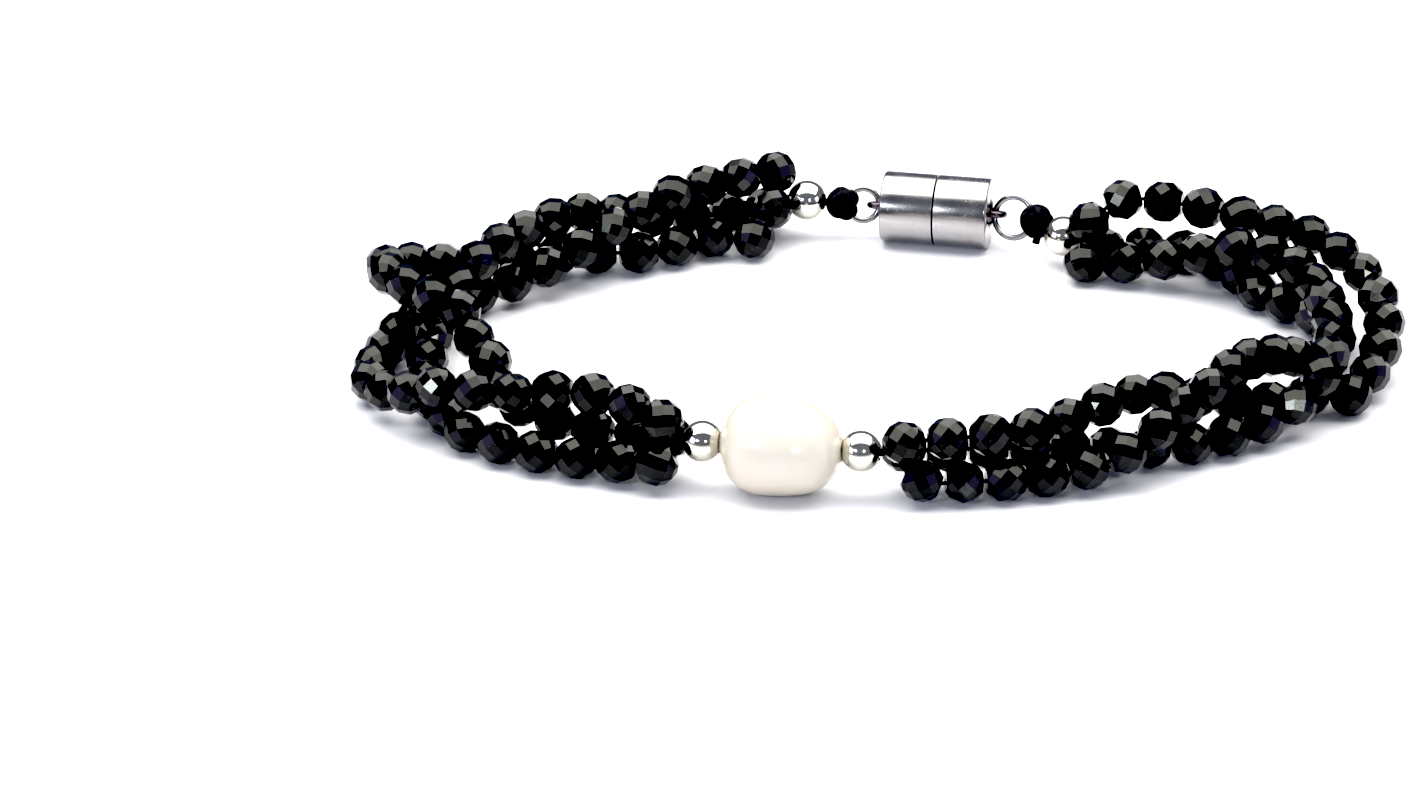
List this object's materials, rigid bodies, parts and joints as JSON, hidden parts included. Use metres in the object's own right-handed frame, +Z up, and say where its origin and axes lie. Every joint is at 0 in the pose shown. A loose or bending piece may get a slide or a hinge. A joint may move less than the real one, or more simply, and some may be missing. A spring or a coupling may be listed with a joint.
{
  "type": "bracelet",
  "caption": "Closed bracelet of twisted strings of faceted beads, with a drilled pearl between silver balls in front and a barrel clasp behind.",
  "frame": {"origin": "middle of the underside of the whole closed loop, on the surface that it lies on", "axes": "+Z up, square to the loop; +X to the right along the loop's longer width; the pearl is at -Y and the clasp at +Y"},
  "size_m": [0.0742, 0.0494, 0.0069],
  "materials": {
    "pearl": "glossy, with a pearl's lustre",
    "silver": "polished",
    "thread": "matt twisted thread",
    "clasp": "polished",
    "beads": "faceted and polished"
  },
  "bodies": {
    "root": {"pearl": "pearl", "ball_front_left": "silver", "ball_front_right": "silver", "thread_front": "thread", "clasp_half_left": "clasp", "ring_left": "clasp", "knotted_cord_left": "thread", "ball_back_left": "silver", "clasp_half_right": "clasp", "ring_right": "clasp", "knotted_cord_right": "thread", "ball_back_right": "silver", "strand_left_a": "beads", "strand_left_b": "beads", "strand_left_c": "beads", "strand_right_a": "beads", "strand_right_b": "beads", "strand_right_c": "beads"}
  },
  "joints": []
}
